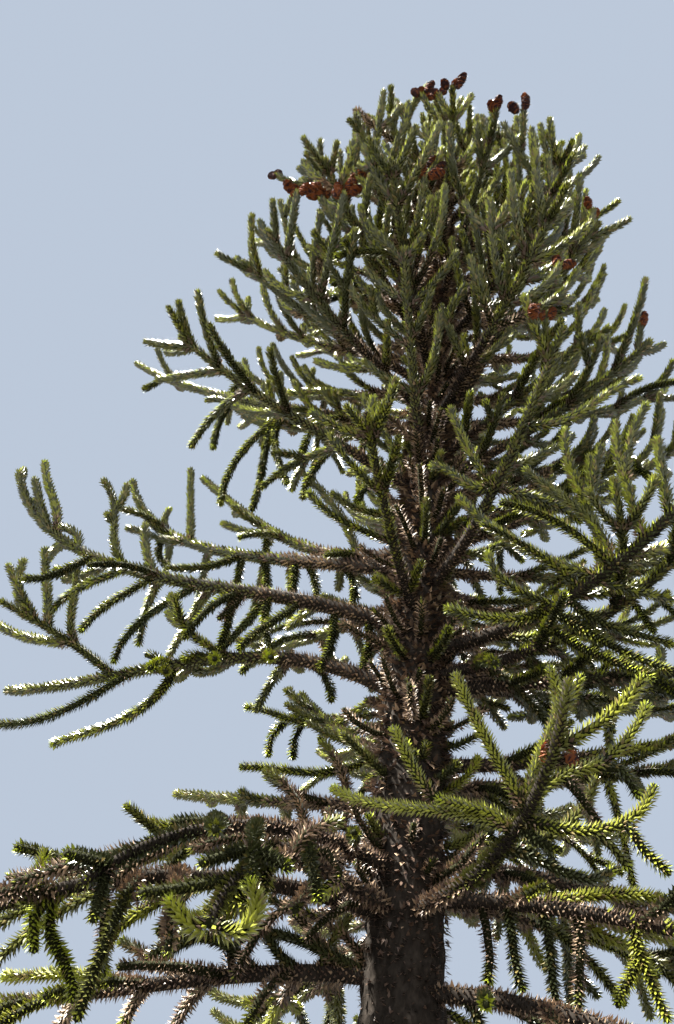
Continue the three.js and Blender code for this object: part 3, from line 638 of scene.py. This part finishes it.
def catkin(foot, axis, length, radius, seed):
    """A plump spike of overlapping scales."""
    rings, sides = 13, 11
    q = np.random.default_rng(seed)
    t = np.linspace(0, 1, rings)
    A = unit(np.cross(axis, np.array([0.3, 0.2, 0.9])))
    B = np.cross(axis, A)
    prof = radius * np.sin(np.pi * np.clip(0.10 + 0.84 * t, 0, 1)) ** 0.55
    ang = np.arange(sides) / sides * 2 * np.pi
    V = []
    for i in range(rings):
        r = prof[i] * (1 + 0.38 * ((np.arange(sides) + i) % 2) + q.normal(0, 0.12, sides))
        bend = np.array([0, 0, -0.25 * t[i] ** 2 * length])
        c = foot + axis * length * t[i] + bend
        V.append(c + (A * np.cos(ang + i * 0.28)[:, None] + B * np.sin(ang + i * 0.28)[:, None]) * r[:, None])
    V = np.vstack(V)
    idx = np.arange(rings * sides).reshape(rings, sides)
    nxt = np.roll(idx, -1, 1)
    F = [np.stack([idx[:-1], nxt[:-1], nxt[1:]], -1).reshape(-1, 3), np.stack([idx[:-1], nxt[1:], idx[1:]], -1).reshape(-1, 3)]
    V = np.vstack([V, foot, foot + axis * length * 1.03 + np.array([0, 0, -0.25 * length])])
    F.append(np.stack([np.full(sides, rings * sides), nxt[0], idx[0]], -1))
    F.append(np.stack([np.full(sides, rings * sides + 1), idx[-1], nxt[-1]], -1))
    return V, np.vstack(F)


# ------------------------------------------------------------------ mesh helpers
def mesh_from(name, verts, faces, mats=None, indices=None, smooth=False):
    me = bpy.data.meshes.new(name)
    nv, nf, k = len(verts), len(faces), faces.shape[1]
    me.vertices.add(nv)
    me.vertices.foreach_set("co", np.ascontiguousarray(verts, dtype=np.float32).ravel())
    me.loops.add(nf * k)
    me.loops.foreach_set("vertex_index", np.ascontiguousarray(faces, dtype=np.int32).ravel())
    me.polygons.add(nf)
    me.polygons.foreach_set("loop_start", np.arange(0, nf * k, k, dtype=np.int32))
    me.polygons.foreach_set("loop_total", np.full(nf, k, dtype=np.int32))
    for m in mats or []:
        me.materials.append(m)
    if indices is not None:
        me.polygons.foreach_set("material_index", np.ascontiguousarray(indices, dtype=np.int32))
    me.polygons.foreach_set("use_smooth", np.full(nf, smooth, dtype=bool))
    me.update(calc_edges=True)
    me.validate()
    o = bpy.data.objects.new(name, me)
    bpy.context.scene.collection.objects.link(o)
    return o


def plain(name, colour, rough, spec=0.5, coat=0.0, sheen=0.0):
    m = bpy.data.materials.new(name)
    m.use_nodes = True
    b = m.node_tree.nodes["Principled BSDF"]
    b.inputs["Base Color"].default_value = (*colour, 1)
    b.inputs["Roughness"].default_value = rough
    b.inputs["Specular IOR Level"].default_value = spec
    b.inputs["Coat Weight"].default_value = coat
    b.inputs["Coat Roughness"].default_value = 0.25
    return m


LEAF_MATS = [
    plain("leaf_fresh", (0.274, 0.312, 0.022), 0.36, 0.7),
    plain("leaf_light", (0.190, 0.200, 0.024), 0.28, 0.55, 0.4),
    plain("leaf_mid", (0.100, 0.104, 0.024), 0.28, 0.55, 0.4),
    plain("leaf_dark", (0.044, 0.050, 0.018), 0.28, 0.55, 0.4),
    plain("leaf_olive", (0.144, 0.113, 0.036), 0.30, 0.8),
    plain("leaf_brown", (0.087, 0.055, 0.040), 0.38, 0.6),
    plain("leaf_dead", (0.272, 0.188, 0.123), 0.5, 0.5),
]


def tube_mesh(items, sides, every=1):
    """Tubes along the given shoots, open inside the wood they grow from and closed at the tip."""
    V, F, n0 = [], [], 0
    ang = np.arange(sides) / sides * 2 * np.pi
    for sh in items:
        pts = sh["pts"][:: every] if len(sh["pts"]) > 2 * every else sh["pts"]
        if not np.allclose(pts[-1], sh["pts"][-1]):
            pts = np.vstack([pts, sh["pts"][-1]])
        seg = np.concatenate([[0], np.cumsum(np.linalg.norm(np.diff(pts, axis=0), axis=1))])
        P, T, A, B, total = frames_along(pts, seg)
        r = sh["r0"] + (sh["r1"] - sh["r0"]) * seg / total
        ring = P[:, None, :] + (A[:, None, :] * np.cos(ang)[None, :, None] + B[:, None, :] * np.sin(ang)[None, :, None]) * r[:, None, None]
        n = len(P)
        V.append(ring.reshape(-1, 3))
        V.append((P[0] - T[0] * 0.002)[None])
        V.append((P[-1] + T[-1] * 0.01)[None])
        idx = n0 + np.arange(n * sides).reshape(n, sides)
        nxt = np.roll(idx, -1, 1)
        a, b, c, d = idx[:-1], nxt[:-1], nxt[1:], idx[1:]
        F.append(np.stack([a, b, c], -1).reshape(-1, 3))
        F.append(np.stack([a, c, d], -1).reshape(-1, 3))
        e0, e1 = n0 + n * sides, n0 + n * sides + 1
        F.append(np.stack([np.full(sides, e0), nxt[0], idx[0]], -1))
        F.append(np.stack([np.full(sides, e1), idx[-1], nxt[-1]], -1))
        n0 += n * sides + 2
    return np.vstack(V), np.vstack(F)


lv, lm = [], []
for sh in shoots:
    leaves_of(sh, lv, lm)

# what is left of the trunk's own leaves: thick round the feet of the boughs, sparse between them
rng = np.random.default_rng(77)
feet = np.array([[b[1], math.radians(b[2])] for b in BOUGHS] + [[w[0], math.radians(w[2] + 360 / w[1] * k)] for w in WHORLS for k in range(w[1])])
near_foot = feet[rng.integers(0, len(feet), 9000)]
z_at = np.concatenate([near_foot[:, 0] + rng.normal(0, 0.15, 9000), rng.uniform(2.1, 7.5, 9000)])
a_at = np.concatenate([near_foot[:, 1] + rng.normal(0, 0.6, 9000), rng.uniform(0, 2 * np.pi, 9000)])
keep = (z_at > 2.1) & (z_at < 9.0) & (rng.random(len(z_at)) < np.interp(z_at, [2.1, 3.4], [0.3, 1.0]))
z_at, a_at = z_at[keep], a_at[keep]
n_old = len(z_at)
R = np.stack([np.cos(a_at), np.sin(a_at), np.zeros(n_old)], 1)
P = trunk_centre(z_at) + R * (trunk_radius(z_at) * 0.985)[:, None]
d = unit(R + rng.normal(0, 0.45, (n_old, 3)) + np.array([0, 0, -0.25]))
nrm = unit(np.array([0, 0, 1.0]) - d * d[:, 2:3])
sd = np.cross(d, nrm)
ln = (rng.uniform(0.03, 0.07, n_old) * np.where(z_at > 6, 0.8, np.interp(z_at, [2.4, 3.4], [0.6, 1.0])))[:, None]
w = ln * 0.42
tipv = P + d * ln
midv = P + d * ln * 0.3
lv.append(np.stack([P, midv + sd * w * 0.5, tipv, midv - sd * w * 0.5], 1).reshape(-1, 3))
lm.append(np.where(rng.random(n_old) < np.interp(z_at, [2.6, 4.2], [0.0, 0.3]), DEAD, BROWN))
V = np.vstack(lv)
Mi = np.concatenate(lm)
n_leaf = len(Mi)
print("leaves", n_leaf, "triangles", 2 * n_leaf)
PER = 95000
count = 0
for a in range(0, n_leaf, PER):
    b = min(n_leaf, a + PER)
    v = V[a * 4 : b * 4]
    q = np.arange((b - a) * 4).reshape(-1, 4)
    f = np.empty(((b - a) * 2, 3), int)
    f[0::2] = q[:, [0, 1, 2]]
    f[1::2] = q[:, [0, 2, 3]]
    o = mesh_from("foliage_%d" % (count + 1), v, f, LEAF_MATS, np.repeat(Mi[a:b], 2))
    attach(o, "root")
    count += 1


outer = [(q["pts"][len(q["pts"]) // 2 :], tangents(q["pts"])[len(q["pts"]) // 2 :]) for q in shoots]
tips = np.vstack([a for a, _ in outer])
ends = unit(np.vstack([b for _, b in outer]) + np.array([0, 0, 0.4]))
cv, cf, cm, n0, taken = [], [], [], 0, set()
rng = np.random.default_rng(4242)
for x, y, z, many in CATKINS:
    gap = np.linalg.norm(tips - np.array([x, y, z]), axis=1)
    gap[list(taken)] = 9
    j = int(np.argmin(gap))
    taken.add(j)
    across = unit(np.cross(ends[j], np.array([0.2, 1.0, 0.1])))
    for k in range(many):
        along = (k - (many - 1) / 2)
        lean = unit(ends[j] * 0.9 + across * along * 0.35 + rng.normal(0, 0.30, 3) + np.array([0, 0, 0.2]))
        foot = tips[j] - ends[j] * 0.015 + across * along * 0.034 + rng.normal(0, 0.008, 3)
        v, f = catkin(foot, lean, rng.uniform(0.095, 0.145), rng.uniform(0.022, 0.028), 60 + j + 500 * k)
        cv.append(v)
        cf.append(f + n0)
        spent = 0.8 if rng.random() < (0.75 if z > 7.6 else 0.15) else 0.3
        cm.append((rng.random(len(f)) < spent).astype(int))
        n0 += len(v)
catkins = mesh_from(
    "catkins",
    np.vstack(cv),
    np.vstack(cf),
    [plain("catkin_ripe", (0.165, 0.046, 0.012), 0.6, 0.3), plain("catkin_spent", (0.030, 0.011, 0.014), 0.7, 0.3)],
    np.concatenate(cm),
)
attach(catkins, "root")


# ------------------------------------------------------------------ bark
def material_bark(name, dark, light, scale):
    m = bpy.data.materials.new(name)
    m.use_nodes = True
    nt = m.node_tree
    b = nt.nodes["Principled BSDF"]
    tc = nt.nodes.new("ShaderNodeTexCoord")
    mp = nt.nodes.new("ShaderNodeMapping")
    mp.inputs["Scale"].default_value = (scale, scale, scale * 0.55)
    n1 = nt.nodes.new("ShaderNodeTexNoise")
    n1.inputs["Scale"].default_value = 5
    n1.inputs["Detail"].default_value = 8
    n1.inputs["Roughness"].default_value = 0.7
    n2 = nt.nodes.new("ShaderNodeTexVoronoi")
    n2.inputs["Scale"].default_value = 9
    ramp = nt.nodes.new("ShaderNodeValToRGB")
    ramp.color_ramp.elements[0].position = 0.32
    ramp.color_ramp.elements[0].color = (*dark, 1)
    ramp.color_ramp.elements[1].position = 0.72
    ramp.color_ramp.elements[1].color = (*light, 1)
    mid = ramp.color_ramp.elements.new(0.5)
    mid.color = (*[(x + y) * 0.42 for x, y in zip(dark, light)], 1)
    bump = nt.nodes.new("ShaderNodeBump")
    bump.inputs["Strength"].default_value = 0.6
    bump.inputs["Distance"].default_value = 0.01
    nt.links.new(tc.outputs["Object"], mp.inputs["Vector"])
    nt.links.new(mp.outputs["Vector"], n1.inputs["Vector"])
    nt.links.new(mp.outputs["Vector"], n2.inputs["Vector"])
    nt.links.new(n1.outputs["Fac"], ramp.inputs["Fac"])
    nt.links.new(ramp.outputs["Color"], b.inputs["Base Color"])
    nt.links.new(n2.outputs["Distance"], bump.inputs["Height"])
    nt.links.new(bump.outputs["Normal"], b.inputs["Normal"])
    b.inputs["Roughness"].default_value = 0.9
    b.inputs["Specular IOR Level"].default_value = 0.12
    return m


# bark colours far darker than real bark, standing in for the deep shade on the trunk and boughs: painted shade
bark = material_bark("bark", (0.0066, 0.005, 0.0037), (0.038, 0.030, 0.0245), 5.0)
# twig colours darkened to stand in for the shade between the leaves: painted shade
twig_bark = material_bark("twig_bark", (0.009, 0.010, 0.004), (0.025, 0.027, 0.009), 10.0)


def value_noise(u, v, nu, nv, seed):
    """Smooth noise in 0..1 over a grid that closes on itself in u."""
    g = np.random.default_rng(seed).random((nv + 2, nu))
    x, y = u * nu, v * nv
    i, j = np.floor(x).astype(int), np.floor(y).astype(int)
    fx, fy = x - i, y - j
    fx, fy = fx * fx * (3 - 2 * fx), fy * fy * (3 - 2 * fy)
    i0, i1 = i % nu, (i + 1) % nu
    j0, j1 = np.clip(j, 0, nv + 1), np.clip(j + 1, 0, nv + 1)
    a = g[j0, i0] * (1 - fx) + g[j0, i1] * fx
    b = g[j1, i0] * (1 - fx) + g[j1, i1] * fx
    return a * (1 - fy) + b * fy


ROWS, COLS = 340, 64
zz = np.concatenate([np.linspace(0, 0.5, 40, endpoint=False), np.linspace(0.5, TRUNK_TOP, ROWS - 40)])
th = np.arange(COLS) / COLS * 2 * np.pi
Z, TH = np.meshgrid(zz, th, indexing="ij")
U, W = TH / (2 * np.pi), Z / TRUNK_TOP
fade = np.clip(1 - Z / FLARE_HEIGHT, 0, 1)
R = trunk_radius(Z) * (1 + FLARE_DEPTH * fade * np.sin(FLARE_LOBES * TH + 0.7) + 0.02 * np.sin(3 * TH + Z * 2.1))
plates = value_noise(U, W, 18, 120, 5)
fine = value_noise(U, W, 36, 260, 6)
rings = value_noise(U, W, 5, 150, 7)
crack = np.clip(1 - np.abs(plates - 0.5) * 7, 0, 1)
relief = 0.016 * (plates - 0.5) + 0.010 * (fine - 0.5) + 0.016 * (rings - 0.5) - 0.014 * crack
thin = np.clip(trunk_radius(Z) / 0.18, 0.25, 1)
R = R + relief * thin
C = trunk_centre(zz)
tv = np.stack([C[:, 0][:, None] + R * np.cos(TH), C[:, 1][:, None] + R * np.sin(TH), Z], -1).reshape(-1, 3)
idx = np.arange(ROWS * COLS).reshape(ROWS, COLS)
nxt = np.roll(idx, -1, 1)
tf = [np.stack([idx[:-1], nxt[:-1], nxt[1:]], -1).reshape(-1, 3), np.stack([idx[:-1], nxt[1:], idx[1:]], -1).reshape(-1, 3)]
tv = np.vstack([tv, [[0, 0, 0]], [[C[-1][0], C[-1][1], TRUNK_TOP + 0.01]]])
e0, e1 = ROWS * COLS, ROWS * COLS + 1
tf.append(np.stack([np.full(COLS, e0), nxt[0], idx[0]], -1))
tf.append(np.stack([np.full(COLS, e1), idx[-1], nxt[-1]], -1))
trunk = mesh_from("trunk_bark", tv, np.vstack(tf), [bark], smooth=True)
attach(trunk, "root")

main = [s for s in shoots if s["kind"] == "bough"]
bv, bf = tube_mesh(main, 7)
boughs = mesh_from("bough_bark", bv, bf, [bark], smooth=True)
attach(boughs, "root")
side = [s for s in shoots if s["kind"] != "bough"]
sv, sf = tube_mesh(side, 4, every=3)
twigs = mesh_from("twigs", sv, sf, [twig_bark], smooth=True)
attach(twigs, "root")
print("trunk", len(trunk.data.polygons), "boughs", len(bf), "twigs", len(sf))

# ------------------------------------------------------------------ what stands for what
leafy = [n for n in NODES if n.startswith("leaves_")]
wood = [n for n in NODES if n.startswith("bough_")]
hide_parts("trunk")
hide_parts(*wood)
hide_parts(*leafy)

# ------------------------------------------------------------------ floor, light, sky
me = bpy.data.meshes.new("floor")
S = 60
me.from_pydata([(-S, -S, 0), (S, -S, 0), (S, S, 0), (-S, S, 0)], [], [(0, 1, 2, 3)])
floor = bpy.data.objects.new("floor", me)
bpy.context.scene.collection.objects.link(floor)
fm = plain("floor_paint", (0.036, 0.036, 0.0355), 0.95, 0.1)
me.materials.append(fm)

bpy.context.scene.view_settings.view_transform = "Standard"
world = bpy.data.worlds.new("studio")
bpy.context.scene.world = world
world.use_nodes = True
bg = world.node_tree.nodes["Background"]
bg.inputs["Color"].default_value = (0.72, 0.83, 1.0, 1)
bg.inputs["Strength"].default_value = 0.70


def sun(name, direction, strength, angle, colour):
    d = bpy.data.lights.new(name, "SUN")
    d.energy = strength
    d.angle = math.radians(angle)
    d.color = colour
    o = bpy.data.objects.new(name, d)
    bpy.context.scene.collection.objects.link(o)
    o.rotation_mode = "QUATERNION"
    o.rotation_quaternion = Vector(direction).to_track_quat("-Z", "Y")
    return o


sun("key", (-0.06, -0.38, -0.92), 42.0, 1.5, (1.0, 0.95, 0.86))
fill = sun("fill", (0.12, 0.85, -0.45), 2.4, 90, (1.0, 0.98, 0.92))
fill.visible_glossy = False
front = sun("front", (0.62, 0.16, -0.78), 28.0, 4, (1.0, 0.97, 0.88))
